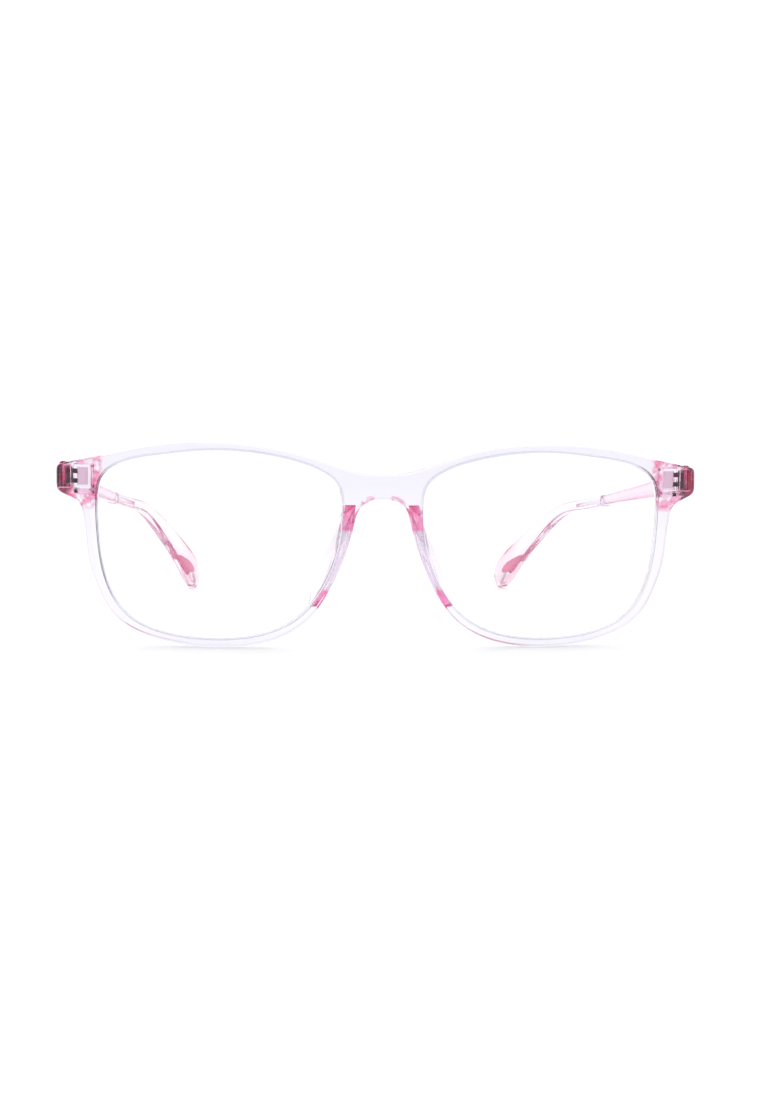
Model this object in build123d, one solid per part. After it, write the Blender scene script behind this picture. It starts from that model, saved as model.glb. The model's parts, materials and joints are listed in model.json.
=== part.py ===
"""Blue light glasses: a clear plastic front with two lenses, nose pads and two folding temples.

Millimetres, +Z up. The glasses stand open on the rim bottoms and the temple tips, at z = 0. The wearer
looks along -Y, so the front is at the lowest y and the temples run towards +Y. Shapes are first drawn
with the bridge's front face at y = 0 and are moved to the middle of the overall depth when written.
"""
from build123d import *
import os

# Overall
HALF_WIDTH = 70.0          # centre to the outer edge of an end piece
OVERALL_DEPTH = 127.9      # bridge front to the temple tips' ends
WRAP_RADIUS = 326.0        # radius of the front's face form, about a vertical axis
FRONT_DEPTH = 3.6          # front-to-back thickness of the frame front
CORNER_ROUND = 1.2         # rounding of the end pieces' corners

# Lenses
LENS_FRONT = 0.9           # depth of the lens front surface behind the frame's front surface
LENS_THICKNESS = 1.9
TONGUE_FRONT = 1.5         # depth of the lens edge tongue behind the frame's front surface
TONGUE_THICKNESS = 0.7
TONGUE_REACH = 0.5         # how far the tongue stands out from the lens opening
LENS_GAP = 0.03            # assembly gap between a lens and its groove
OPENING_STEPS = 40         # points that carry a widened lens opening

# Hinge, right side (the left side is its mirror image)
AXIS_X = 67.6
AXIS_Y = 13.0
HINGE_Z = 36.45            # middle of the barrel
KNUCKLE_HEIGHT = 1.0
KNUCKLE_GAP = 0.05         # axial play between knuckles
BARREL_RADIUS = 1.0
SCREW_RADIUS = 0.45
SCREW_PLAY = 0.05          # radial play of the turning knuckle on the screw
SCREW_HEAD_RADIUS = 0.9
SCREW_HEAD_HEIGHT = 0.5
BARREL_RELIEF = 1.25       # radius cleared in the plastic around the barrel
BUTT_Y = 11.4              # back face of the end piece, which the open temple stops against
BUTT_GAP = 0.08

# Boss that holds the front leaf
BOSS_INNER_X = 62.3
BOSS_OUTER_X = 66.3
BOSS_BACK_Y = 13.15
BOSS_HALF_HEIGHT = 2.75
BOSS_ROUND = 0.7

# Sloped foot round the boss
FOOT_INNER_X = 61.4
FOOT_BACK_Y = 12.3
FOOT_BOTTOM = 32.1
FOOT_TOP = 39.6
FOOT_SLOPE = 1.4

PAD_ROOT = 0.4             # how far a nose pad's root laps the rim before it is trimmed to it

# Temple
JOINT_Y = 67.0             # plane where the arm ends and the tip sleeve begins
TONGUE_LENGTH = 18.0       # arm's tongue inside the sleeve
TONGUE_WIDTH = 1.1
FIT_GAP = 0.02             # assembly gap between the tongue and its socket

# Outline of the front's right half, (x, z), from the bridge's top to its arch
BRIDGE_TOP = [(0, 37.5), (4.5, 37.7), (9.5, 39.0), (16.0, 41.1), (26.5, 43.3), (39.0, 44.0), (51.0, 42.9), (60.3, 41.0)]
END_PIECE = [(60.3, 41.0), (70.0, 39.1), (70.0, 33.5), (65.0, 31.0)]
END_PIECE_TOP = (9.7, -1.9)  # direction of its top edge
RIM_SIDE = [(65.0, 31.0), (64.2, 28.0), (63.2, 19.5), (61.3, 13.2), (57.2, 6.3), (50.0, 2.2), (36.0, 0.02),
            (23.5, 1.6), (16.0, 6.0), (11.4, 12.5), (8.1, 20.0), (6.1, 27.0)]
ARCH = [(6.1, 27.0), (4.9, 30.3), (2.6, 31.8), (0, 32.0)]

# Lens opening on the right side, (x, z), a closed smooth loop
OPENING = [(8.7, 30.5), (9.6, 35.0), (13.5, 38.2), (21.0, 40.7), (30.0, 42.1), (39.0, 42.2), (48.0, 41.2),
           (56.0, 39.5), (60.0, 36.6), (61.1, 30.5), (60.6, 22.0), (58.5, 12.7), (54.6, 7.0), (47.0, 3.3),
           (36.0, 1.95), (26.0, 3.0), (18.5, 6.4), (13.0, 12.8), (10.1, 19.4), (8.8, 26.0)]

# Temple arm sections: (x, y, z) of the centre, thickness, height
ARM_STATIONS = [
    ((68.95, BUTT_Y + BUTT_GAP, 36.2), 2.1, 6.8),
    ((68.3, 18.0, 35.2), 2.4, 5.4),
    ((67.1, 30.0, 33.6), 2.6, 4.0),
    ((65.2, 48.0, 31.3), 2.7, 3.1),
    ((63.3, JOINT_Y, 28.9), 2.7, 2.7),
]
# Temple tip sections: centre, thickness, height, and the run of the tip there (inward, back, down)
TIP_STATIONS = [
    ((63.3, JOINT_Y, 28.9), 2.9, 2.9, (0, 1, 0)),
    ((60.6, 83.0, 26.8), 2.9, 2.8, (-0.2, 1, -0.14)),
    ((57.6, 95.0, 24.6), 3.1, 3.2, (-0.3, 1, -0.3)),
    ((53.0, 106.0, 18.2), 3.5, 4.8, (-0.45, 1, -0.7)),
    ((48.4, 116.0, 10.2), 3.9, 6.4, (-0.4, 1, -0.78)),
    ((45.8, 123.5, 4.1), 4.0, 7.0, (-0.25, 1, -0.78)),
    ((45.3, 125.5, 2.5), 3.4, 6.1, (-0.2, 1, -0.78)),
]
TIP_END = ((45.1, 126.6, 1.7), 2.2, 4.3, (-0.2, 1, -0.78))  # the tip's rounded-off end face

# Nose pad sections: height, inner front x, width at the rim, how far back and how far outward it flares
PAD_STATIONS = [
    (30.8, 5.6, 2.3, 0.8, 0.2),
    (27.5, 6.1, 2.6, 3.6, 1.0),
    (24.0, 7.0, 2.5, 4.8, 2.0),
    (20.0, 8.3, 2.2, 5.6, 3.0),
    (14.0, 10.8, 1.8, 5.2, 2.8),
    (8.8, 13.9, 1.2, 1.5, 0.9),
]


def at(x, z):
    """Point of the front's drawing plane."""
    return (x, 0, z)


def spline(points, start=None, end=None):
    """Smooth curve through (x, z) points, with a chosen direction at either end."""
    ends = None
    if start and end:
        ends = [at(*start), at(*end)]
    return Spline(*[at(*p) for p in points], tangents=ends)


def wrap_shell(front, thickness):
    """Vertical cylindrical shell that follows the front's face form."""
    tall = 60
    outer = Cylinder(WRAP_RADIUS - front, tall)
    inner = Cylinder(WRAP_RADIUS - front - thickness, tall)
    return Pos(0, WRAP_RADIUS, 20) * (outer - inner)


def slab(face, front, thickness):
    """The part of the wrap shell that lies inside an outline."""
    return extrude(face, amount=30, dir=(0, 1, 0)) & wrap_shell(front, thickness)


def half_outline():
    """Edges of the right half of the front, from the bridge's top to its arch."""
    top = spline(BRIDGE_TOP, (1, 0), END_PIECE_TOP)
    end_piece = Polyline(*[at(*p) for p in END_PIECE])
    side = spline(RIM_SIDE, (-0.35, -1), (-0.2, 1))
    arch = spline(ARCH, (-0.2, 1), (-1, 0))
    return [*top.edges(), *end_piece.edges(), *side.edges(), *arch.edges()]


def front_face():
    """Whole outline of the front as a flat face."""
    right = Wire(half_outline())
    left = right.mirror(Plane.YZ)
    face = Face(Wire([*right.edges(), *left.edges()]))
    corners = face.vertices().filter_by(lambda v: abs(v.X) > 62)
    return fillet(corners, CORNER_ROUND).face()


def opening_face(grow):
    """Lens opening on the right side, widened all round."""
    loop = Spline(*[at(*p) for p in OPENING], periodic=True).edge()
    points = []
    for step in range(OPENING_STEPS):
        place = step / OPENING_STEPS
        outward = loop.tangent_at(place).cross(Vector(0, 1, 0))
        points.append(loop.position_at(place) + outward * grow)
    return Face(Wire([Edge.make_spline(points, periodic=True)]))


def both(shape):
    """A right-hand shape and its mirror image on the left."""
    return shape + mirror(shape, about=Plane.YZ)


def box(x0, x1, y0, y1, z0, z1):
    """Block between two corners."""
    return Pos((x0 + x1) / 2, (y0 + y1) / 2, (z0 + z1) / 2) * Box(x1 - x0, y1 - y0, z1 - z0)


def rod(radius, z0, z1):
    """Upright cylinder on the right hinge's axis."""
    return Pos(AXIS_X, AXIS_Y, (z0 + z1) / 2) * Cylinder(radius, z1 - z0)


def knuckle_span(index):
    """Bottom and top of a knuckle: 0 is the lower front one, 1 the temple's, 2 the upper front one."""
    middle = HINGE_Z + (index - 1) * (KNUCKLE_HEIGHT + KNUCKLE_GAP)
    return middle - KNUCKLE_HEIGHT / 2, middle + KNUCKLE_HEIGHT / 2


def leaf_plate(grow):
    """Anchor plate of the front leaf, sunk into the boss, with the roots of its two arms."""
    plate = box(BOSS_INNER_X + 0.8 - grow, BOSS_OUTER_X - 0.9 + grow, AXIS_Y - 1.3 - grow, AXIS_Y - 0.5 + grow,
                HINGE_Z - 1.9 - grow, HINGE_Z + 1.9 + grow)
    for index in (0, 2):
        low, high = knuckle_span(index)
        plate += box(BOSS_OUTER_X - 1.5, BOSS_OUTER_X + grow, AXIS_Y - 0.8 - grow, AXIS_Y + 0.15 + grow,
                     low - grow, high + grow)
    return plate


def make_front_hinge():
    """Front leaf: an anchor plate and two arms that end in the outer knuckles."""
    leaf = leaf_plate(0)
    for index in (0, 2):
        low, high = knuckle_span(index)
        leaf += box(BOSS_OUTER_X - 0.1, AXIS_X, AXIS_Y - 0.8, AXIS_Y + 0.15, low, high)
        leaf += rod(BARREL_RADIUS, low, high)
    return leaf - rod(SCREW_RADIUS + FIT_GAP, HINGE_Z - 3, HINGE_Z + 3)


def temple_plate(grow):
    """Anchor plate of the temple leaf, sunk into the arm's end, with the root of its knuckle arm."""
    low, high = knuckle_span(1)
    plate = box(AXIS_X + 0.8 - grow, AXIS_X + 1.5 + grow, AXIS_Y + 0.7 - grow, AXIS_Y + 4.5 + grow,
                HINGE_Z - 2.2 - grow, HINGE_Z + 1.2 + grow)
    plate += box(AXIS_X, AXIS_X + 1.2, AXIS_Y + 0.7 - grow, AXIS_Y + 1.5 + grow, low - grow, high + grow)
    return plate


def make_temple_hinge():
    """Temple leaf: an anchor plate and the middle knuckle that turns on the screw."""
    low, high = knuckle_span(1)
    leaf = temple_plate(0)
    leaf += box(AXIS_X, AXIS_X + 0.9, AXIS_Y, AXIS_Y + 1.0, low, high)
    leaf += rod(BARREL_RADIUS, low, high)
    return leaf - rod(SCREW_RADIUS + SCREW_PLAY, low - 1, high + 1)


def make_screw():
    """Hinge screw with a slotted round head on the upper knuckle."""
    bottom = knuckle_span(0)[0]
    top = knuckle_span(2)[1]
    screw = rod(SCREW_RADIUS, bottom, top)
    head = rod(SCREW_HEAD_RADIUS, top, top + SCREW_HEAD_HEIGHT)
    head = chamfer(head.edges().group_by(Axis.Z)[-1], 0.15)
    slot = Pos(AXIS_X, AXIS_Y, top + SCREW_HEAD_HEIGHT) * Box(2.2, 0.25, 0.4)
    return screw + head - slot


def make_front():
    """Frame front: rims, bridge and end pieces in one moulding, with lens grooves and hinge bosses."""
    front = slab(front_face(), 0, FRONT_DEPTH)
    boss = box(BOSS_INNER_X, BOSS_OUTER_X, 8.0, BOSS_BACK_Y, HINGE_Z - BOSS_HALF_HEIGHT, HINGE_Z + BOSS_HALF_HEIGHT)
    boss = fillet(boss.edges().filter_by(Axis.Y), BOSS_ROUND)
    butt = box(AXIS_X - 0.8, HALF_WIDTH - 0.3, 9.0, BUTT_Y, 33.9, 38.9)
    foot = box(FOOT_INNER_X, BOSS_OUTER_X, 9.0, FOOT_BACK_Y, FOOT_BOTTOM, FOOT_TOP)
    sloped = foot.faces().sort_by(Axis.Y)[-1].edges().sort_by(Axis.X)[:-1]
    front += both(boss + butt + chamfer(sloped, FOOT_SLOPE))
    opening = extrude(opening_face(0), amount=30, dir=(0, 1, 0))
    groove = slab(opening_face(TONGUE_REACH + LENS_GAP), TONGUE_FRONT - LENS_GAP, TONGUE_THICKNESS + 2 * LENS_GAP)
    front -= both(opening) + both(groove)
    front -= both(leaf_plate(FIT_GAP))
    return front


def make_lens():
    """Curved lens with a tongue round its edge."""
    body = slab(opening_face(-LENS_GAP), LENS_FRONT, LENS_THICKNESS)
    tongue = slab(opening_face(TONGUE_REACH), TONGUE_FRONT, TONGUE_THICKNESS)
    return body + tongue


def pad_section(z, x, width, back, flare):
    """Level outline of a nose pad at one height, leaning outward as it goes back."""
    y = x * x / (2 * WRAP_RADIUS) + FRONT_DEPTH - PAD_ROOT
    tip = 0.55 * width
    points = [(x, y, z), (x + width, y, z), (x + width + flare * 0.8, y + PAD_ROOT + back * 0.75, z),
              (x + flare + tip, y + PAD_ROOT + back, z), (x + flare, y + PAD_ROOT + back * 0.9, z)]
    return Face(Wire(Polyline(*points, close=True).edges()))


def make_pad(front):
    """Nose pad behind the rim's nose side."""
    pad = loft([pad_section(*station) for station in PAD_STATIONS], ruled=True)
    return (pad - front).solids().sort_by(SortBy.VOLUME)[-1]


def level_section(centre, thickness, height):
    """Rounded section of a temple arm, in an upright plane across the glasses."""
    plane = Plane(origin=centre, x_dir=(1, 0, 0), z_dir=(0, -1, 0))
    return plane * RectangleRounded(thickness, height, 0.3 * min(thickness, height))


def tip_section(centre, thickness, height, run):
    """Rounded section of a temple tip, square to the way the tip runs."""
    direction = Vector(*run)
    across = direction.cross(Vector(0, 0, 1))
    plane = Plane(origin=centre, x_dir=across, z_dir=direction)
    return plane * RectangleRounded(thickness, height, 0.42 * min(thickness, height))


def tongue(grow):
    """Tongue at the arm's rear end, which the tip's socket takes."""
    start = Vector(*ARM_STATIONS[-1][0])
    run = Vector(*TIP_STATIONS[1][0]) - start
    end = start + run * ((TONGUE_LENGTH + grow) / run.length)
    size = TONGUE_WIDTH + 2 * grow
    sections = [level_section(tuple(start - run * 0.02), size, size), level_section(tuple(end), size * 0.8, size * 0.8)]
    return loft(sections)


def make_arm():
    """Temple arm, from the butt joint to the tip's sleeve, with its tongue and the hinge's pocket."""
    arm = loft([level_section(*station) for station in ARM_STATIONS])
    arm += tongue(0)
    low = knuckle_span(0)[0]
    arm -= rod(BARREL_RELIEF, low - 0.4, low + 8)
    return arm - temple_plate(FIT_GAP)


def make_tip():
    """Temple tip: a sleeve over the arm's tongue that bends down behind the ear."""
    tip = loft([tip_section(*station) for station in TIP_STATIONS])
    tip += loft([tip_section(*TIP_STATIONS[-1]), tip_section(*TIP_END)])
    return tip - tongue(FIT_GAP)


def write(name, shape):
    """Write one node, moved to the middle of the overall depth."""
    export_step(Pos(0, -OVERALL_DEPTH / 2, 0) * shape, f"parts/{name}.step")


def main():
    os.makedirs("parts", exist_ok=True)
    front = make_front()
    write("front_frame", front)
    right_pieces = {
        "lens": make_lens(),
        "nose_pad": make_pad(front),
        "front_hinge": make_front_hinge(),
        "temple_hinge": make_temple_hinge(),
        "hinge_screw": make_screw(),
        "temple_arm": make_arm(),
        "temple_tip": make_tip(),
    }
    for name, piece in right_pieces.items():
        write(f"{name}_right", piece)
        write(f"{name}_left", mirror(piece, about=Plane.YZ))


if __name__ == "__main__":
    main()
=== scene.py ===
"""Blue light glasses in clear, faintly pink plastic: the looks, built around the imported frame."""

import json
import math

import bmesh
import bpy
import numpy as np
from mathutils import Matrix, Vector
from mathutils.geometry import delaunay_2d_cdt


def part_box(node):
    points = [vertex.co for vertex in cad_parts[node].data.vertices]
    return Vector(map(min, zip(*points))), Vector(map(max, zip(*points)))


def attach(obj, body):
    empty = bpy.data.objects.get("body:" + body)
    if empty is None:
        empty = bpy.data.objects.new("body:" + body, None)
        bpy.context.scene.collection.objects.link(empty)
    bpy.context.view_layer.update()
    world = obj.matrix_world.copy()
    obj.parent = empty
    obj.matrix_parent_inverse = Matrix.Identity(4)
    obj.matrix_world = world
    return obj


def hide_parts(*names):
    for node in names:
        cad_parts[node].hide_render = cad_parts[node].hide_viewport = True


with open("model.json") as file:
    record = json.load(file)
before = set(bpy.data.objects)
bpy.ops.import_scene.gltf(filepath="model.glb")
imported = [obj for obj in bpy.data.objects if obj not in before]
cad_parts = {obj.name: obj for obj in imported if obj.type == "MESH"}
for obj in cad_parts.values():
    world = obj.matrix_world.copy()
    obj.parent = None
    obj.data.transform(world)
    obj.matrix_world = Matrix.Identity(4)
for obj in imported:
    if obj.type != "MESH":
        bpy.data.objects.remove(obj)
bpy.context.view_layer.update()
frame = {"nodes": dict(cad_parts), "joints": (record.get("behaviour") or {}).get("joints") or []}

MM = 0.001
FRONT_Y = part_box("front_frame")[0].y / MM      # the bridge's front face, in mm
HINGE_PLACE = frame["joints"][1]["pos_m"]      # on the right hinge's axis

# The front's form, in mm, the same as the CAD front
WRAP_RADIUS = 326.0
FRONT_DEPTH = 3.6
LENS_FRONT = 0.9
LENS_THICKNESS = 1.9
TONGUE_FRONT = 1.5
TONGUE_THICKNESS = 0.7
TONGUE_REACH = 0.5
LENS_GAP = 0.03
GROUND_FROM = 0.38         # the tongue is ground from here outwards
LENS_CHAMFER = 0.12        # chamfer of the lens faces' edges
BRIDGE_TOP = [(0, 37.5), (4.5, 37.7), (9.5, 39.0), (16.0, 41.1), (26.5, 43.3), (39.0, 44.0), (51.0, 42.9),
              (60.3, 41.0)]
END_PIECE = [(70.0, 39.1), (70.0, 33.5)]
RIM_SIDE = [(65.0, 31.0), (64.2, 28.0), (63.2, 19.5), (61.3, 13.2), (57.2, 6.3), (50.0, 2.2), (36.0, 0.02),
            (23.5, 1.6), (16.0, 6.0), (11.4, 12.5), (8.1, 20.0), (6.1, 27.0)]
ARCH = [(6.1, 27.0), (4.9, 30.3), (2.6, 31.8), (0, 32.0)]
OPENING = [(8.7, 30.5), (9.6, 35.0), (13.5, 38.2), (21.0, 40.7), (30.0, 42.1), (39.0, 42.2), (48.0, 41.2),
           (56.0, 39.5), (60.0, 36.6), (61.1, 30.5), (60.6, 22.0), (58.5, 12.7), (54.6, 7.0), (47.0, 3.3),
           (36.0, 1.95), (26.0, 3.0), (18.5, 6.4), (13.0, 12.8), (10.1, 19.4), (8.8, 26.0)]
ARCH_CENTRE = 24.1         # height of the circle that the arch's top follows
SAMPLE = 0.4               # spacing of points along an outline
CORNER_EASE = 30           # rounds of smoothing along the front's outline
EDGE_ROUND = 0.45          # rounding of the front's outer edges
LIP_ROUND = 0.25           # rounding of the lens openings' edges
ROUND_STEPS = 5
SUPPORT = 0.15             # flat band beside a rounding, which keeps the face beyond it flat
FILL_GRID = 2.0            # spacing of points inside a face
FILL_CLEAR = 0.8           # how far those keep from its edge

# Hinge boss and butt pad on the right end piece, mm
AXIS_X = HINGE_PLACE[0] / MM
AXIS_Y = HINGE_PLACE[1] / MM - FRONT_Y
HINGE_Z = HINGE_PLACE[2] / MM
BOSS = (62.3, 66.3, 8.6, 13.15, HINGE_Z - 2.75, HINGE_Z + 2.75)
BUTT = (66.8, 69.7, 8.6, 11.4, 33.9, 38.9)
FOOT = (61.4, 66.3, 8.6, 12.3, 32.1, 39.6)
FOOT_SLOPE = 1.4
BLOCK_ROUND = 0.45
FOOT_ROUND = 0.3
BARREL_RELIEF = 1.25       # radius of the notch for the barrel
RELIEF_HEIGHT = 9.0
RELIEF_RISE = 2.55         # how far the notch's middle stands above the barrel's

# Temple, mm: centre, thickness, height at each station
JOINT_Y = 67.0
TONGUE_LENGTH = 18.0
TONGUE_WIDTH = 1.1
TONGUE_TAPER = 0.2         # share of its width that the tongue loses towards its end
TONGUE_STEPS = 12
FIT_GAP = 0.02
RING_POINTS = 40
OVAL, TONGUE_OVAL = 0.55, 0.6     # how round a section is: 1 is an ellipse and 0 a rectangle
ARM_LIP = (0.93, 0.12)     # scale and depth of the chamfer at the arm's front end
ARM_STATIONS = [((68.95, 11.48, 36.2), 2.1, 6.8),
                ((68.3, 18.0, 35.2), 2.4, 5.4),
                ((67.1, 30.0, 33.6), 2.6, 4.0),
                ((65.2, 48.0, 31.3), 2.7, 3.1),
                ((63.3, JOINT_Y, 28.9), 2.7, 2.7)]
TIP_STATIONS = [((63.3, JOINT_Y, 28.9), 2.9, 2.9),
                ((60.6, 83.0, 26.8), 2.9, 2.8),
                ((57.6, 95.0, 24.6), 3.1, 3.2),
                ((53.0, 106.0, 18.2), 3.5, 4.8),
                ((48.4, 116.0, 10.2), 3.9, 6.4),
                ((45.8, 123.5, 4.1), 4.0, 7.0),
                ((45.3, 125.5, 2.5), 3.4, 6.1)]
TIP_END = ((45.1, 126.6, 1.7), 2.2, 4.3)
TIP_CLOSING = (0.35, 0.65, 0.85, 1.0)    # shares of the way to the end where the tip closes
TIP_DOME = 0.93            # share of a half round that the end follows in thickness
TIP_FLAT = 0.35            # share of its height that the end keeps at least
TIP_UPRIGHT = 6            # rings over which the sleeve turns square to its run

# Pink drop inside the tip, mm: where it starts and ends along the depth, and its size
INLAY_START, INLAY_END = 111.0, 122.0
INLAY_FULL = 0.7           # share of its length where it's widest
INLAY_THICKNESS = 0.5
INLAY_EDGE, INLAY_GROWTH = 0.12, 1.8    # share of its thickness at the narrow end, and its growth from there
INLAY_HEIGHT = 3.4
INLAY_NOSE = 0.04          # share of its height at the narrow end
INLAY_LEAST = 0.1
INLAY_LEAN = (-2.0, -0.3)  # how far above the tip's middle line it lies at its start and end

# Nose pads, mm: height, inner front x, width at the rim, how far back and how far outward it flares
PAD_STATIONS = [(30.8, 5.6, 2.3, 0.8, 0.2), (27.5, 6.1, 2.6, 3.6, 1.0), (24.0, 7.0, 2.5, 4.8, 2.0),
                (20.0, 8.3, 2.2, 5.6, 3.0), (14.0, 10.8, 1.8, 5.2, 2.8), (8.8, 13.9, 1.2, 1.5, 0.9)]
PAD_POINTS = 48
PAD_SINK = 0.05            # how far a pad's root is let into the rim
PAD_HEEL = (0.8, 0.75)     # outer bend of a pad's section, as shares of its flare and depth
PAD_END = 0.55             # width of its far end, as a share of the width at the rim
PAD_INNER = 0.9            # depth of the far end's inner corner, as a share of the whole
PAD_EASE = 12              # rounds of smoothing round a pad's section

# Camera: place from the bridge's front, mm, and turns, degrees
CAMERA_PLACE = (-27.0, -332.1, 48.9)
CAMERA_YAW = 4.58
CAMERA_PITCH = 4.73
CAMERA_ROLL = 0.549
CAMERA_LENS = 51.0
SENSOR = 36.0

# The light round the object: radiance from the camera's side, from behind, and how much more from above
FRONT_LIGHT = (0.65, 0.65, 0.67)
BACK_LIGHT = (1.02, 1.03, 1.06)
TOP_LIGHT = 1.6
SIDE_SHADE = 0.55          # how much light is left towards the sides
FLOOR_SHADE = 0.55
FLOOR_GLOW = (0.5, 0.365)  # glow under the object and far behind it
FLOOR_FAR = 0.8            # how far behind, in metres
FLOOR_SIZE = 40
FLOOR_DROP = 0.0002        # how far below the glasses the floor lies, in metres

# Materials
PLASTIC_IOR = 1.5
DARK_START, DARK_FULL = 0.8, 0.5   # how far inside the boss's end the painted shade on the hinge metal begins and is full
PATCHES = (0.42, 0.56)     # noise values between which a mottled tint fades in

# Light paths through clear plastic
BOUNCES = 40
MIRROR_BOUNCES = 32

# Where the plastic looks deeper, as (axis, empty, full) ramps in mm; X is the distance from the middle plane
# and R the distance from the centre of the arch
PINK_PASS = (0.94, 0.1, 0.56)      # what the plastic lets through
FRONT_TINT = [[("X", 60.2, 60.9), ("X", 63.2, 62.5), ("Z", 31.2, 32.0)],
              [("X", 61.5, 62.5), ("Z", 39.2, 39.9)],
              [("X", 61.5, 62.5), ("Z", 33.8, 33.0), ("Z", 29.6, 30.8)],
              [("X", 66.6, 67.2)],
              [("R", 9.2, 8.9), ("X", 1.8, 2.4), ("X", 5.3, 4.9)]]
PAD_TINT = [[("Z", 25.0, 25.8), ("Y", 4.6, 3.9)],
            [("Z", 13.2, 12.5), ("Y", 4.8, 4.2)]]
TIP_TINT = [[("Y", 112.0, 119.0)]]
ARM_TINT = [[("Y", 19.0, 15.0)]]
# painted shade on the lens's ground edge, darkest towards the temples
EDGE_SHADE = [[("X", 56.5, 60.5)]]
UNEVEN = 0.6               # how far the borders of a tint wander


# ---------------------------------------------------------------- curves

def cubic(points, closed=False, start=None, end=None, spacing=SAMPLE):
    """Points along a smooth cubic curve through the given points, by chord length."""
    p = np.array(points, float)
    if closed:
        p = np.vstack([p, p[:1]])
    h = np.linalg.norm(np.diff(p, axis=0), axis=1)
    n = len(p)
    a = np.zeros((n, n))
    b = np.zeros((n, p.shape[1]))
    for i in range(1, n - 1):
        a[i, i - 1:i + 2] = h[i], 2 * (h[i - 1] + h[i]), h[i - 1]
        b[i] = 3 * (h[i] * (p[i] - p[i - 1]) / h[i - 1] + h[i - 1] * (p[i + 1] - p[i]) / h[i])
    if closed:
        a[0, [0, 1, n - 2]] = 2 * (h[-1] + h[0]), h[-1], h[0]
        b[0] = 3 * (h[0] * (p[0] - p[-2]) / h[-1] + h[-1] * (p[1] - p[0]) / h[0])
        a[-1, [0, -1]] = 1, -1
    else:
        for row, direction, one, other in ((0, start, 0, 1), (n - 1, end, n - 1, n - 2)):
            if direction is None:
                a[row, [one, other]] = 2, 1
                b[row] = 3 * (p[max(one, other)] - p[min(one, other)]) / (h[0] if row == 0 else h[-1])
            else:
                a[row, one] = 1
                b[row] = np.array(direction, float) / np.linalg.norm(direction)
    slope = np.linalg.solve(a, b)
    out = []
    for i in range(n - 1):
        steps = max(2, round(h[i] / spacing))
        t = np.linspace(0, 1, steps, endpoint=False)[:, None]
        out.append((2 * t**3 - 3 * t**2 + 1) * p[i] + (t**3 - 2 * t**2 + t) * h[i] * slope[i]
                   + (3 * t**2 - 2 * t**3) * p[i + 1] + (t**3 - t**2) * h[i] * slope[i + 1])
    if not closed:
        out.append(p[-1:])
    return np.vstack(out)


def even(loop, spacing=SAMPLE):
    """A closed loop's points, spread evenly along it."""
    p = np.vstack([loop, loop[:1]])
    run = np.concatenate([[0], np.cumsum(np.linalg.norm(np.diff(p, axis=0), axis=1))])
    count = round(run[-1] / spacing)
    s = np.linspace(0, run[-1], count, endpoint=False)
    return np.column_stack([np.interp(s, run, p[:, k]) for k in range(p.shape[1])])


def soften(loop, rounds):
    """A closed loop with its corners eased."""
    for _ in range(rounds):
        loop = (np.roll(loop, 1, 0) + 2 * loop + np.roll(loop, -1, 0)) / 4
    return loop


def outward(loop):
    """Unit normals of a closed loop that point out of it."""
    along = np.roll(loop, -1, 0) - np.roll(loop, 1, 0)
    along /= np.linalg.norm(along, axis=1)[:, None]
    normal = np.column_stack([along[:, 1], -along[:, 0]])
    x, z = loop[:, 0], loop[:, 1]
    area = np.sum(x * np.roll(z, -1) - np.roll(x, -1) * z)
    return normal if area > 0 else -normal


def front_loop():
    """Outer outline of the whole front."""
    top = cubic(BRIDGE_TOP, start=(1, 0), end=(9.7, -1.9))
    side = cubic(RIM_SIDE, start=(-0.35, -1), end=(-0.2, 1))
    arch = cubic(ARCH, start=(-0.2, 1), end=(-1, 0))
    right = np.vstack([top, END_PIECE, side, arch[1:]])
    left = right[::-1] * [-1, 1]
    loop = even(np.vstack([right, left[1:-1]]), SAMPLE / 2)
    return even(soften(loop, CORNER_EASE))


def opening_loop(side):
    """Lens opening on one side: 1 is right, -1 is left."""
    loop = cubic(OPENING, closed=True) * [side, 1]
    return even(loop if side > 0 else loop[::-1])


# ---------------------------------------------------------------- meshes

def on_wrap(points, depth):
    """(x, z) points on the front's curved form, at a depth behind its front surface, in metres."""
    x = points[:, 0]
    y = WRAP_RADIUS - np.sqrt((WRAP_RADIUS - depth) ** 2 - x * x)
    return np.column_stack([x, y + FRONT_Y, points[:, 1]]) * MM


def quarter(radius):
    """(inset, depth) steps round a quarter circle, from the face to the wall."""
    turns = np.linspace(math.pi / 2, 0, ROUND_STEPS)
    return [(radius * (1 - math.cos(t)), radius * (1 - math.sin(t))) for t in turns]


def wall_profile(radius, middle):
    """(inset, depth) steps from the front face, over a rounded wall, to the back face."""
    front = [(radius + SUPPORT, 0)] + quarter(radius)
    back = [(inset, FRONT_DEPTH - depth) for inset, depth in reversed(front)]
    return front + middle + back


def new_piece(name, verts, faces, smooth_angle=math.radians(50)):
    """A mesh object, with its faces turned outward and shaded smooth between its sharp edges."""
    mesh = bpy.data.meshes.new(name)
    mesh.from_pydata([tuple(v) for v in verts], [], faces)
    piece = bpy.data.objects.new(name, mesh)
    bpy.context.scene.collection.objects.link(piece)
    tidy_mesh(piece, smooth_angle)
    return piece


def tidy_mesh(piece, smooth_angle=math.radians(50)):
    """Merges doubled points, turns faces outward and marks sharp edges."""
    work = bmesh.new()
    work.from_mesh(piece.data)
    bmesh.ops.remove_doubles(work, verts=work.verts, dist=1e-6)
    bmesh.ops.dissolve_degenerate(work, edges=work.edges, dist=1e-7)
    bmesh.ops.recalc_face_normals(work, faces=work.faces)
    for face in work.faces:
        face.smooth = True
    for edge in work.edges:
        edge.smooth = len(edge.link_faces) == 2 and edge.calc_face_angle(0) < smooth_angle
    work.to_mesh(piece.data)
    work.free()


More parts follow.
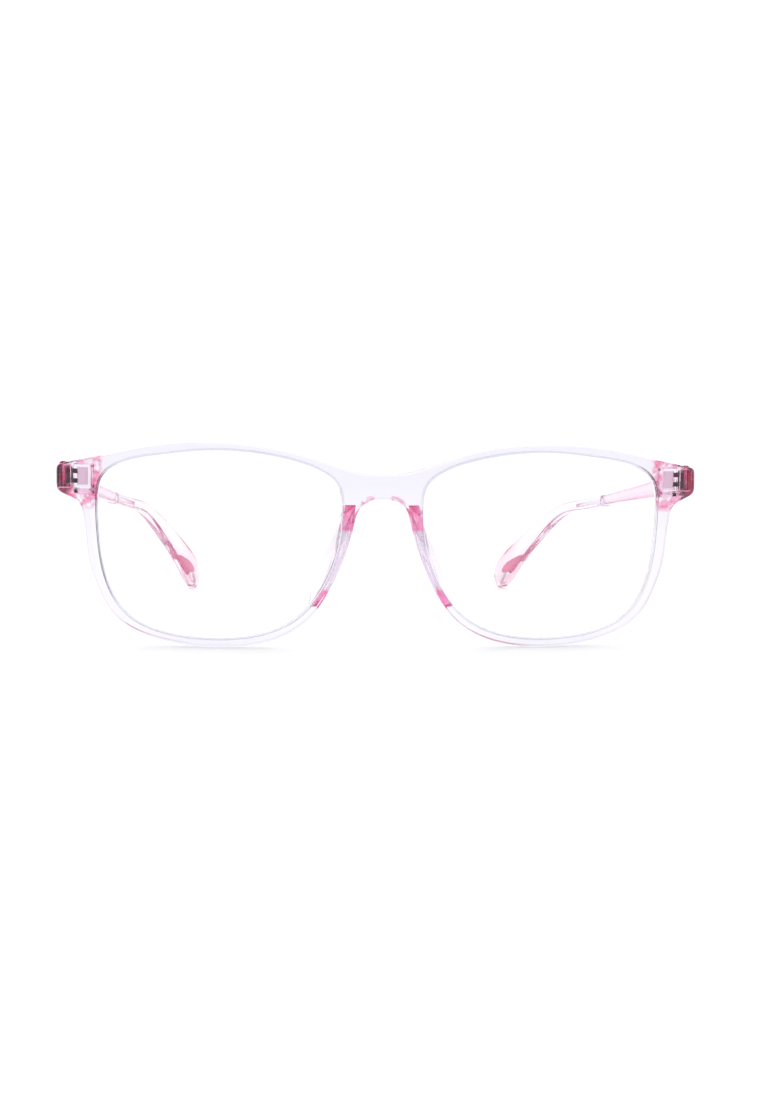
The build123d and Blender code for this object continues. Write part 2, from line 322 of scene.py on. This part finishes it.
def boolean(piece, other, operation):
    """Joins or cuts a piece with another, which is then removed."""
    modifier = piece.modifiers.new("join", "BOOLEAN")
    modifier.object = other
    modifier.operation = operation
    modifier.solver = "EXACT"
    apply_modifiers(piece)
    bpy.data.objects.remove(other)
    tidy_mesh(piece)


def apply_modifiers(piece):
    """Writes a piece's modifiers into its mesh."""
    bpy.context.view_layer.update()
    evaluated = piece.evaluated_get(bpy.context.evaluated_depsgraph_get())
    mesh = bpy.data.meshes.new_from_object(evaluated)
    piece.modifiers.clear()
    piece.data = mesh


def mirrored(piece, name):
    """The left-hand copy of a right-hand piece."""
    copy = bpy.data.objects.new(name, piece.data.copy())
    bpy.context.scene.collection.objects.link(copy)
    copy.data.transform(Matrix.Scale(-1, 4, (1, 0, 0)))
    copy.data.flip_normals()
    return copy


def plate(outer, openings, profiles):
    """Closed mesh of a wrapped plate with holes; each loop's wall follows its own (inset, depth) profile."""
    verts, faces, rims = [], [], []
    for loop, sign, profile in zip([outer] + openings, [-1] + [1] * len(openings), profiles):
        normal = outward(loop) * sign
        rings = []
        for inset, depth in profile:
            flat = loop + normal * inset
            rings.append((len(verts), flat))
            verts.extend(on_wrap(flat, depth))
        count = len(loop)
        for (first, _), (second, _) in zip(rings, rings[1:]):
            for i in range(count):
                j = (i + 1) % count
                faces.append((first + i, first + j, second + j, second + i))
        rims.append((rings[0], rings[-1], count))
    for which, depth in ((0, profiles[0][0][1]), (1, profiles[0][-1][1])):
        verts, faces = fill(verts, faces, [(rim[which], rim[2]) for rim in rims], depth)
    return verts, faces


def fill(verts, faces, rings, depth):
    """Faces between an outer ring and the rings of its holes, with inner points that keep the curve."""
    flat, index, edges = [], [], []
    for (first, points), count in rings:
        base = len(flat)
        flat.extend(Vector(p) for p in points)
        index.extend(range(first, first + count))
        edges.extend((base + i, base + (i + 1) % count) for i in range(count))
    border = np.array([tuple(p) for p in flat])
    loops = [points for (_, points), _ in rings]
    for x in np.arange(border[:, 0].min(), border[:, 0].max(), FILL_GRID):
        for z in np.arange(border[:, 1].min(), border[:, 1].max(), FILL_GRID):
            clear = np.min(np.hypot(border[:, 0] - x, border[:, 1] - z)) > FILL_CLEAR
            if clear and within((x, z), loops):
                flat.append(Vector((x, z)))
    points, _, triangles, origins, _, _ = delaunay_2d_cdt(flat, edges, [], 0, 1e-6)
    places = []
    for point, origin in zip(points, origins):
        if origin and origin[0] < len(index):
            places.append(index[origin[0]])
        else:
            places.append(len(verts))
            verts.extend(on_wrap(np.array([tuple(point)]), depth))
    for triangle in triangles:
        centre = sum((points[i] for i in triangle), Vector((0, 0))) / 3
        if within(centre, loops):
            faces.append(tuple(places[i] for i in triangle))
    return verts, faces


def within(point, loops):
    """True if a flat point lies inside the first loop and outside the holes that follow it."""
    return inside(point, loops[0]) and not any(inside(point, hole) for hole in loops[1:])


def inside(point, loop):
    """True if a flat point lies inside a closed loop."""
    x, z = point
    a, b = loop, np.roll(loop, -1, 0)
    crosses = (a[:, 1] > z) != (b[:, 1] > z)
    rise = np.where(b[:, 1] == a[:, 1], 1, b[:, 1] - a[:, 1])
    at_x = a[:, 0] + (z - a[:, 1]) * (b[:, 0] - a[:, 0]) / rise
    return np.count_nonzero(crosses & (at_x > x)) % 2 == 1


def skin(rings):
    """Closed mesh through a list of rings of equal count, with both ends capped."""
    count = len(rings[0])
    verts = [v for ring in rings for v in ring]
    faces = []
    for r in range(len(rings) - 1):
        for i in range(count):
            j = (i + 1) % count
            faces.append((r * count + i, r * count + j, (r + 1) * count + j, (r + 1) * count + i))
    faces.append(tuple(range(count)))
    faces.append(tuple(range((len(rings) - 1) * count, len(rings) * count)))
    return verts, faces


def rounded_block(name, corners, radius, slope=0.0):
    """Block with rounded edges, from (x0, x1, y0, y1, z0, z1) in mm behind the bridge's front."""
    x0, x1, y0, y1, z0, z1 = corners
    work = bmesh.new()
    bmesh.ops.create_cube(work, size=1)
    for v in work.verts:
        if slope and v.co.y > 0:
            v.co.z *= 1 - 2 * slope / (z1 - z0)
            v.co.x += slope / (x1 - x0) if v.co.x < 0 else 0
        v.co = Vector(((x0 + x1) / 2 + v.co.x * (x1 - x0),
                       (y0 + y1) / 2 + v.co.y * (y1 - y0) + FRONT_Y,
                       (z0 + z1) / 2 + v.co.z * (z1 - z0))) * MM
    bmesh.ops.bevel(work, geom=work.edges[:], offset=radius * MM, segments=4, profile=0.5, affect="EDGES")
    mesh = bpy.data.meshes.new(name)
    work.to_mesh(mesh)
    work.free()
    block = bpy.data.objects.new(name, mesh)
    bpy.context.scene.collection.objects.link(block)
    return block


# ---------------------------------------------------------------- the pieces' shapes

def rounded_ring(centre, across, up, width, height, corner):
    """Ring of a rounded rectangle round a centre, all in mm behind the bridge's front, given in metres."""
    ring = []
    for k in range(RING_POINTS):
        t = 2 * math.pi * k / RING_POINTS
        c, s = math.cos(t), math.sin(t)
        u = math.copysign(abs(c) ** corner, c) * width / 2
        v = math.copysign(abs(s) ** corner, s) * height / 2
        place = centre + across * u + up * v
        ring.append(Vector((place.x, place.y + FRONT_Y, place.z)) * MM)
    return ring


def stations_line(stations, spacing):
    """Smooth centres, thicknesses and heights along a temple's stations."""
    rows = [(*centre, thickness, height) for centre, thickness, height in stations]
    return cubic(rows, spacing=spacing)


def ring_at(line, k, level):
    """Ring of a temple at one point of its line, upright across the glasses or square to its run."""
    before, after = line[max(k - 1, 0)], line[min(k + 1, len(line) - 1)]
    run = Vector(after[:3] - before[:3]).normalized()
    ease = min(1.0, max(0.0, level))
    run = (run * (1 - ease) + Vector((0, 1, 0)) * ease).normalized()
    across = run.cross(Vector((0, 0, 1))).normalized()
    up = across.cross(run).normalized()
    x, y, z, width, height = line[k]
    return rounded_ring(Vector((x, y, z)), across, up, width, height, OVAL)


def tongue_rings(grow, reach):
    """Rings of the arm's tongue, or of its socket when grown, from the joint towards the ear."""
    start = Vector(ARM_STATIONS[-1][0])
    run = Vector(TIP_STATIONS[1][0]) - start
    run.normalize()
    across = run.cross(Vector((0, 0, 1))).normalized()
    up = across.cross(run).normalized()
    rings = []
    for k in range(TONGUE_STEPS + 1):
        size = (TONGUE_WIDTH + 2 * grow) * (1 - TONGUE_TAPER * k / TONGUE_STEPS)
        centre = start + run * (reach * k / TONGUE_STEPS)
        rings.append(rounded_ring(centre, across, up, size, size, TONGUE_OVAL))
    return rings


def make_front():
    """Frame front with its lens grooves, hinge bosses and butt pads."""
    groove_front = TONGUE_FRONT - LENS_GAP
    groove_back = TONGUE_FRONT + TONGUE_THICKNESS + LENS_GAP
    groove_floor = TONGUE_REACH + LENS_GAP
    groove = [(0, groove_front), (groove_floor, groove_front), (groove_floor, groove_back), (0, groove_back)]
    openings = [opening_loop(1), opening_loop(-1)]
    profiles = [wall_profile(EDGE_ROUND, [])] + [wall_profile(LIP_ROUND, groove)] * 2
    front = new_piece("frame_front", *plate(front_loop(), openings, profiles))
    for corners, radius, slope in ((FOOT, FOOT_ROUND, FOOT_SLOPE), (BOSS, BLOCK_ROUND, 0),
                                   (BUTT, BLOCK_ROUND, 0)):
        right = rounded_block("block_right", corners, radius, slope)
        left = mirrored(right, "block_left")
        boolean(front, right, "UNION")
        boolean(front, left, "UNION")
    return front


def make_lens():
    """Right lens: a curved disc with a tongue round its edge."""
    back = LENS_FRONT + LENS_THICKNESS
    tongue_back = TONGUE_FRONT + TONGUE_THICKNESS
    profile = [(LENS_GAP + LENS_CHAMFER, LENS_FRONT), (LENS_GAP, LENS_FRONT + LENS_CHAMFER),
               (LENS_GAP, TONGUE_FRONT), (-GROUND_FROM, TONGUE_FRONT), (-TONGUE_REACH, TONGUE_FRONT),
               (-TONGUE_REACH, tongue_back), (-GROUND_FROM, tongue_back), (LENS_GAP, tongue_back),
               (LENS_GAP, back - LENS_CHAMFER), (LENS_GAP + LENS_CHAMFER, back)]
    verts, faces = plate(opening_loop(1), [], [profile])
    return new_piece("lens_right_glass", verts, faces, smooth_angle=math.radians(25))


def make_pad():
    """Right nose pad: a soft fin behind the rim that leans out as it goes back."""
    rings = []
    for z, x, width, back, flare in cubic(PAD_STATIONS, spacing=0.8):
        root = x * x / (2 * WRAP_RADIUS) + FRONT_DEPTH - PAD_SINK
        heel = (x + width + flare * PAD_HEEL[0], root + back * PAD_HEEL[1])
        far_end = [(x + flare + PAD_END * width, root + back), (x + flare, root + back * PAD_INNER)]
        corners = np.array([(x, root), (x + width, root), heel, *far_end])
        fine = soften(even(corners, spacing=0.1), PAD_EASE)
        picks = np.linspace(0, len(fine), PAD_POINTS, endpoint=False).astype(int)
        rings.append([Vector((a, b + FRONT_Y, z)) * MM for a, b in fine[picks]])
    return new_piece("nose_pad_right_clear", *skin(rings), smooth_angle=math.radians(75))


def make_arm():
    """Right temple arm with its tongue and the notch for the hinge barrel."""
    line = stations_line(ARM_STATIONS, spacing=1.0)
    rings = [ring_at(line, k, 1.0) for k in range(len(line))]
    scale, depth = ARM_LIP
    centre = sum(rings[0], Vector()) / len(rings[0])
    lip = [centre + (v - centre) * scale for v in rings[0]]
    rings[0] = [v + Vector((0, depth * MM, 0)) for v in rings[0]]
    arm = new_piece("temple_arm_right_clear", *skin([lip] + rings + tongue_rings(0, TONGUE_LENGTH)))
    place = (AXIS_X * MM, (AXIS_Y + FRONT_Y) * MM, (HINGE_Z + RELIEF_RISE) * MM)
    bpy.ops.mesh.primitive_cylinder_add(vertices=64, radius=BARREL_RELIEF * MM, depth=RELIEF_HEIGHT * MM,
                                        location=place)
    boolean(arm, bpy.context.object, "DIFFERENCE")
    return arm


def make_tip():
    """Right temple tip: a sleeve over the tongue that bends down behind the ear."""
    line = stations_line(TIP_STATIONS, spacing=0.7)
    last = len(line) - 1
    socket = tongue_rings(FIT_GAP, TONGUE_LENGTH + FIT_GAP)[::-1]
    rings = [ring_at(line, k, 1.0 - k / TIP_UPRIGHT) for k in range(last + 1)]
    end = np.array([*TIP_END[0], *TIP_END[1:]])
    for share in TIP_CLOSING:
        row = line[last] * (1 - share) + end * share
        shrink = math.sqrt(1 - (TIP_DOME * share) ** 2)
        row[3] = line[last][3] * shrink
        row[4] = line[last][4] * (TIP_FLAT + (1 - TIP_FLAT) * shrink)
        rings.append(ring_at(np.vstack([line[:-1], [row]]), last, 0.0))
    return new_piece("temple_tip_right_clear", *skin(socket + rings), smooth_angle=math.radians(60))


def inlay_swell(share):
    """Share of the inlay's height at a share of its length: it widens steadily and ends in a round."""
    if share < INLAY_FULL:
        return INLAY_NOSE + share ** 1.5
    past = (share - INLAY_FULL) / (1 - INLAY_FULL)
    return math.sqrt(max(0.0, 1 - past ** 2)) * (INLAY_NOSE + INLAY_FULL ** 1.5)


def make_inlay():
    """Right tip's inlay: a flat pink drop moulded into the paddle, narrow end forward."""
    line = stations_line(TIP_STATIONS, spacing=0.25)
    rings = []
    for k, (x, y, z, _, _) in enumerate(line):
        if not INLAY_START < y < INLAY_END:
            continue
        share = (y - INLAY_START) / (INLAY_END - INLAY_START)
        thickness = INLAY_THICKNESS * min(1, INLAY_EDGE + INLAY_GROWTH * share)
        height = max(INLAY_LEAST, INLAY_HEIGHT * inlay_swell(share))
        ring = ring_at(np.vstack([line[:k], [[x, y, z, thickness, height]], line[k + 1:]]), k, 0.0)
        high = max(ring, key=lambda v: v.z) - sum(ring, Vector()) / len(ring)
        lean = INLAY_LEAN[0] * (1 - share) + INLAY_LEAN[1] * share
        rings.append([v + high.normalized() * lean * MM for v in ring])
    return new_piece("temple_tip_right_inlay", *skin(rings))


# ---------------------------------------------------------------- materials

def nodes_of(name):
    """A new material with its node tree and its Principled shader."""
    material = bpy.data.materials.new(name)
    material.use_nodes = True
    tree = material.node_tree
    return material, tree, tree.nodes["Principled BSDF"]


def axes_of(tree, space="Object"):
    """The coordinates of a place, as a vector and split into X, Y and Z."""
    place = tree.nodes.new("ShaderNodeTexCoord")
    split = tree.nodes.new("ShaderNodeSeparateXYZ")
    tree.links.new(place.outputs[space], split.inputs["Vector"])
    return place.outputs[space], split.outputs


def noise_of(tree, place, scale, detail):
    """A noise pattern's value at a place."""
    noise = tree.nodes.new("ShaderNodeTexNoise")
    noise.inputs["Scale"].default_value = scale
    noise.inputs["Detail"].default_value = detail
    tree.links.new(place, noise.inputs["Vector"])
    return noise.outputs["Fac"]


def bump(tree, shader, scale, strength, distance, detail=3.0):
    """Fine unevenness from a noise pattern in the object's own space."""
    noise = noise_of(tree, axes_of(tree)[0], scale, detail)
    height = tree.nodes.new("ShaderNodeBump")
    height.inputs["Strength"].default_value = strength
    height.inputs["Distance"].default_value = distance
    tree.links.new(noise, height.inputs["Height"])
    tree.links.new(height.outputs["Normal"], shader.inputs["Normal"])
    return noise


def combine(tree, operation, first, second=0.0):
    """Two node values put together by a maths operation."""
    node = tree.nodes.new("ShaderNodeMath")
    node.operation = operation
    tree.links.new(first, node.inputs[0])
    if isinstance(second, float):
        node.inputs[1].default_value = second
    else:
        tree.links.new(second, node.inputs[1])
    return node.outputs["Value"]


def ramp(tree, value, empty, full, low=0.0, high=1.0):
    """Value that goes from low at empty to high at full."""
    node = tree.nodes.new("ShaderNodeMapRange")
    node.inputs["From Min"].default_value = empty
    node.inputs["From Max"].default_value = full
    node.inputs["To Min"].default_value = low
    node.inputs["To Max"].default_value = high
    tree.links.new(value, node.inputs["Value"])
    return node.outputs["Result"]


def blend(tree, share, first, second):
    """Colour that goes from the first to the second with a share."""
    node = tree.nodes.new("ShaderNodeMix")
    node.data_type = "RGBA"
    node.inputs["A"].default_value = (*first, 1)
    node.inputs["B"].default_value = (*second, 1)
    tree.links.new(share, node.inputs["Factor"])
    return node.outputs["Result"]


def roughness_from(tree, shader, noise, low, high):
    """Roughness that drifts between two values with a noise pattern."""
    tree.links.new(ramp(tree, noise, 0, 1, low, high), shader.inputs["Roughness"])


def crystal(name, colour, density, deep, regions, mottle=False):
    """Clear polished plastic that turns pink where light runs a long way through it.

    Inside the regions, where it is thick and uneven, it lets through the deep colour instead.
    """
    material, tree, shader = nodes_of(name)
    shader.inputs["Base Color"].default_value = (*colour, 1)
    shader.inputs["Transmission Weight"].default_value = 1.0
    shader.inputs["IOR"].default_value = PLASTIC_IOR
    noise = bump(tree, shader, scale=260, strength=0.05, distance=0.0002)
    roughness_from(tree, shader, noise, 0.0, 0.02)
    tint_regions(tree, shader, colour, deep, regions, mottle)
    volume = tree.nodes.new("ShaderNodeVolumeAbsorption")
    volume.inputs["Color"].default_value = (*PINK_PASS, 1)
    volume.inputs["Density"].default_value = density
    tree.links.new(volume.outputs["Volume"], tree.nodes["Material Output"].inputs["Volume"])
    return material


def tint_regions(tree, shader, colour, deep, regions, mottle):
    """Deep colour inside regions, each a list of (axis, empty, full) ramps in mm that all hold.

    X is the distance from the middle plane, Y the depth behind the bridge's front, Z the height and
    R the distance from the centre of the arch.
    """
    place, split = axes_of(tree)
    patches = noise_of(tree, place, scale=650, detail=2.0)
    uneven = combine(tree, "MULTIPLY", patches, UNEVEN * MM)
    level = tree.nodes.new("ShaderNodeVectorMath")
    level.operation = "MULTIPLY_ADD"
    level.inputs[1].default_value = (1, 0, 1)
    level.inputs[2].default_value = (0, 0, -ARCH_CENTRE * MM)
    tree.links.new(place, level.inputs[0])
    radius = tree.nodes.new("ShaderNodeVectorMath")
    radius.operation = "LENGTH"
    tree.links.new(level.outputs["Vector"], radius.inputs[0])
    aside = combine(tree, "ABSOLUTE", split["X"])
    axes = {"R": radius.outputs["Value"],
            "X": combine(tree, "ADD", aside, uneven),
            "Y": combine(tree, "ADD", split["Y"], uneven),
            "Z": combine(tree, "ADD", split["Z"], uneven)}
    total = None
    for region in regions:
        held = None
        for axis, empty, full in region:
            start = FRONT_Y if axis == "Y" else 0
            step = ramp(tree, axes[axis], (empty + start) * MM, (full + start) * MM)
            held = step if held is None else combine(tree, "MULTIPLY", held, step)
        total = held if total is None else combine(tree, "MAXIMUM", total, held)
    if mottle:
        total = combine(tree, "MULTIPLY", total, ramp(tree, patches, *PATCHES))
    tree.links.new(blend(tree, total, colour, deep), shader.inputs["Base Color"])


def ground_edge(name):
    """The lens's ground edge: rough, with painted shade that darkens it towards the temples."""
    material, tree, shader = nodes_of(name)
    shader.inputs["Transmission Weight"].default_value = 1.0
    shader.inputs["IOR"].default_value = PLASTIC_IOR
    noise = bump(tree, shader, scale=3000, strength=0.3, distance=0.00003)
    roughness_from(tree, shader, noise, 0.1, 0.25)
    # the dark colour is painted shade, laid on the sides of the lens nearest the temples
    tint_regions(tree, shader, (1, 1, 1), (0.15, 0.15, 0.17), EDGE_SHADE, False)
    return material


def inlay_plastic(name):
    """Soft pink plastic moulded into a temple tip."""
    material, tree, shader = nodes_of(name)
    shader.inputs["Transmission Weight"].default_value = 0.75
    shader.inputs["IOR"].default_value = 1.1
    noise = bump(tree, shader, scale=900, strength=0.2, distance=0.0001)
    roughness_from(tree, shader, noise, 0.3, 0.5)
    pinks = blend(tree, noise, (0.95, 0.36, 0.51), (0.96, 0.47, 0.6))
    tree.links.new(pinks, shader.inputs["Base Color"])
    return material


def lens_glass(name):
    """Clear lens with a thin coating that mirrors a little blue."""
    material, tree, shader = nodes_of(name)
    shader.inputs["Base Color"].default_value = (1.0, 0.998, 0.995, 1)
    shader.inputs["Transmission Weight"].default_value = 1.0
    shader.inputs["IOR"].default_value = PLASTIC_IOR
    shader.inputs["Specular Tint"].default_value = (0.12, 0.14, 0.4, 1)
    noise = bump(tree, shader, scale=40, strength=0.01, distance=0.0001)
    roughness_from(tree, shader, noise, 0.0, 0.01)
    return material


def hinge_metal(name, plate_colour, shaded_barrel_colour, rough):
    """Plated metal with fine brushing, bright on its sunk plate and with painted shade round the barrel,
    where the knuckles' gaps and shadows fall.
    """
    material, tree, shader = nodes_of(name)
    shader.inputs["Metallic"].default_value = 1.0
    noise = bump(tree, shader, scale=2400, strength=0.25, distance=0.00002, detail=6.0)
    roughness_from(tree, shader, noise, rough - 0.08, rough + 0.12)
    # painted shade in the knuckles' gaps: the metal turns dark towards the barrel, with an uneven border
    aside = combine(tree, "ABSOLUTE", axes_of(tree)[1]["X"])
    shade_border = combine(tree, "ADD", aside, combine(tree, "MULTIPLY", noise, UNEVEN * MM))
    barrel = ramp(tree, shade_border, (BOSS[1] - DARK_START) * MM, (BOSS[1] - DARK_FULL) * MM)
    tree.links.new(blend(tree, barrel, plate_colour, shaded_barrel_colour), shader.inputs["Base Color"])
    return material


# ---------------------------------------------------------------- scene

def add_floor():
    """Plain pale floor that glows a little."""
    bpy.ops.mesh.primitive_plane_add(size=FLOOR_SIZE, location=(0, 0, -FLOOR_DROP))
    floor = bpy.context.object
    floor.name = "floor"
    material, tree, shader = nodes_of("pale_floor")
    shader.inputs["Base Color"].default_value = (FLOOR_SHADE, FLOOR_SHADE, FLOOR_SHADE, 1)
    shader.inputs["Emission Color"].default_value = (1, 1, 1, 1)
    glow = ramp(tree, axes_of(tree)[1]["Y"], 0, FLOOR_FAR, *FLOOR_GLOW)
    tree.links.new(glow, shader.inputs["Emission Strength"])
    noise = bump(tree, shader, scale=30, strength=0.02, distance=0.001)
    roughness_from(tree, shader, noise, 0.6, 0.7)
    floor.data.materials.append(material)


def add_surround():
    """Plain pale tent of soft light, brighter behind and above than in front and at the sides."""
    world = bpy.data.worlds.new("surround")
    bpy.context.scene.world = world
    world.use_nodes = True
    tree = world.node_tree
    background = tree.nodes["Background"]
    split = axes_of(tree, "Generated")[1]
    shade = blend(tree, ramp(tree, split["Y"], empty=-0.6, full=0.25), FRONT_LIGHT, BACK_LIGHT)
    tree.links.new(shade, background.inputs["Color"])
    height = ramp(tree, split["Z"], empty=0.15, full=1.0, low=1.0, high=TOP_LIGHT)
    aside = combine(tree, "ABSOLUTE", split["X"])
    flank = ramp(tree, aside, empty=0.6, full=0.85, low=1.0, high=SIDE_SHADE)
    strength = combine(tree, "MULTIPLY", height, flank)
    seen = tree.nodes.new("ShaderNodeLightPath")
    plain = tree.nodes.new("ShaderNodeMix")
    plain.inputs["B"].default_value = 1.0
    tree.links.new(seen.outputs["Is Camera Ray"], plain.inputs["Factor"])
    tree.links.new(strength, plain.inputs["A"])
    tree.links.new(plain.outputs["Result"], background.inputs["Strength"])


def add_camera():
    """Camera before the glasses, a little above them and to one side."""
    yaw, pitch, roll = (math.radians(a) for a in (CAMERA_YAW, CAMERA_PITCH, CAMERA_ROLL))
    forward = Vector((math.sin(yaw) * math.cos(pitch), math.cos(yaw) * math.cos(pitch), -math.sin(pitch)))
    right = Vector((math.cos(yaw), -math.sin(yaw), 0))
    up = right.cross(forward)
    tilted_right = right * math.cos(roll) + up * math.sin(roll)
    tilted_up = up * math.cos(roll) - right * math.sin(roll)
    data = bpy.data.cameras.new("camera")
    data.lens = CAMERA_LENS
    data.sensor_width = SENSOR
    data.clip_start = 0.01
    camera = bpy.data.objects.new("camera", data)
    bpy.context.scene.collection.objects.link(camera)
    x, y, z = CAMERA_PLACE
    camera.matrix_world = Matrix((
        (tilted_right.x, tilted_up.x, -forward.x, x * MM),
        (tilted_right.y, tilted_up.y, -forward.y, (y + FRONT_Y) * MM),
        (tilted_right.z, tilted_up.z, -forward.z, z * MM),
        (0, 0, 0, 1)))
    bpy.context.scene.camera = camera


def dress(piece, body, node, material):
    """Puts a piece in place of its CAD node, on its body and in its material."""
    piece.data.materials.clear()
    piece.data.materials.append(material)
    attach(piece, body)
    if node:
        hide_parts(node)


def add_ground_edge(lens, material):
    """Gives the outer part of a lens's tongue its own material."""
    lens.data.materials.append(material)
    loop = opening_loop(1)
    ground_from = loop + outward(loop) * GROUND_FROM
    for face in lens.data.polygons:
        place = (abs(face.center.x) / MM, face.center.z / MM)
        face.material_index = 0 if inside(place, ground_from) else 1


def set_light_paths():
    """Enough bounces for light to find its way out of clear plastic."""
    cycles = bpy.context.scene.cycles
    cycles.max_bounces = BOUNCES
    cycles.transmission_bounces = BOUNCES
    cycles.glossy_bounces = MIRROR_BOUNCES
    bpy.context.scene.view_settings.view_transform = "Standard"


def main():
    set_light_paths()
    add_camera()
    add_floor()
    add_surround()
    front_plastic = crystal("crystal_front", colour=(0.873, 0.9, 0.937), density=18,
                            deep=(0.8, 0.2, 0.38), regions=FRONT_TINT, mottle=True)
    pad_plastic = crystal("crystal_pad", colour=(0.98, 0.96, 0.98), density=20,
                          deep=(0.9, 0.09, 0.28), regions=PAD_TINT)
    arm_plastic = crystal("crystal_arm", colour=(0.93, 0.91, 0.95), density=48,
                          deep=(0.6, 0.2, 0.34), regions=ARM_TINT)
    tip_plastic = crystal("crystal_tip", colour=(0.93, 0.93, 0.965), density=6,
                          deep=(0.95, 0.74, 0.81), regions=TIP_TINT)
    glass = lens_glass("coated_lens")
    edge = ground_edge("ground_lens_edge")
    dress(make_front(), "front", "front_frame", front_plastic)
    right_pieces = ((make_lens(), "lens", "front", "lens", glass),
                    (make_pad(), "nose_pad", "front", "crystal_frame", pad_plastic),
                    (make_arm(), "temple_arm", "temple", "crystal_arm", arm_plastic),
                    (make_tip(), "temple_tip", "temple", "crystal_tip", tip_plastic),
                    (make_inlay(), None, "temple", "crystal_tip", inlay_plastic("inlay_pink")))
    for piece, node, body, slot, material in right_pieces:
        left = mirrored(piece, piece.name.replace("right", "left"))
        for side, shape in (("right", piece), ("left", left)):
            rides_on = body if body == "front" else f"{body}_{side}"
            dress(shape, rides_on, f"{node}_{side}" if node else None, material)
            if node == "lens":
                add_ground_edge(shape, edge)
    # the dark barrel colours below are painted shade round the hinge barrels
    metal = hinge_metal("hinge_plated", plate_colour=(1.0, 0.84, 0.91), shaded_barrel_colour=(0.05, 0.02, 0.035),
                        rough=0.35)
    screw_metal = hinge_metal("screw_metal", plate_colour=(0.6, 0.57, 0.58), shaded_barrel_colour=(0.2, 0.17, 0.18),
                              rough=0.25)
    for side in ("left", "right"):
        for node, chosen in (("front_hinge", metal), ("temple_hinge", metal), ("hinge_screw", screw_metal)):
            mesh = frame["nodes"][f"{node}_{side}"].data
            mesh.materials.clear()
            mesh.materials.append(chosen)


main()
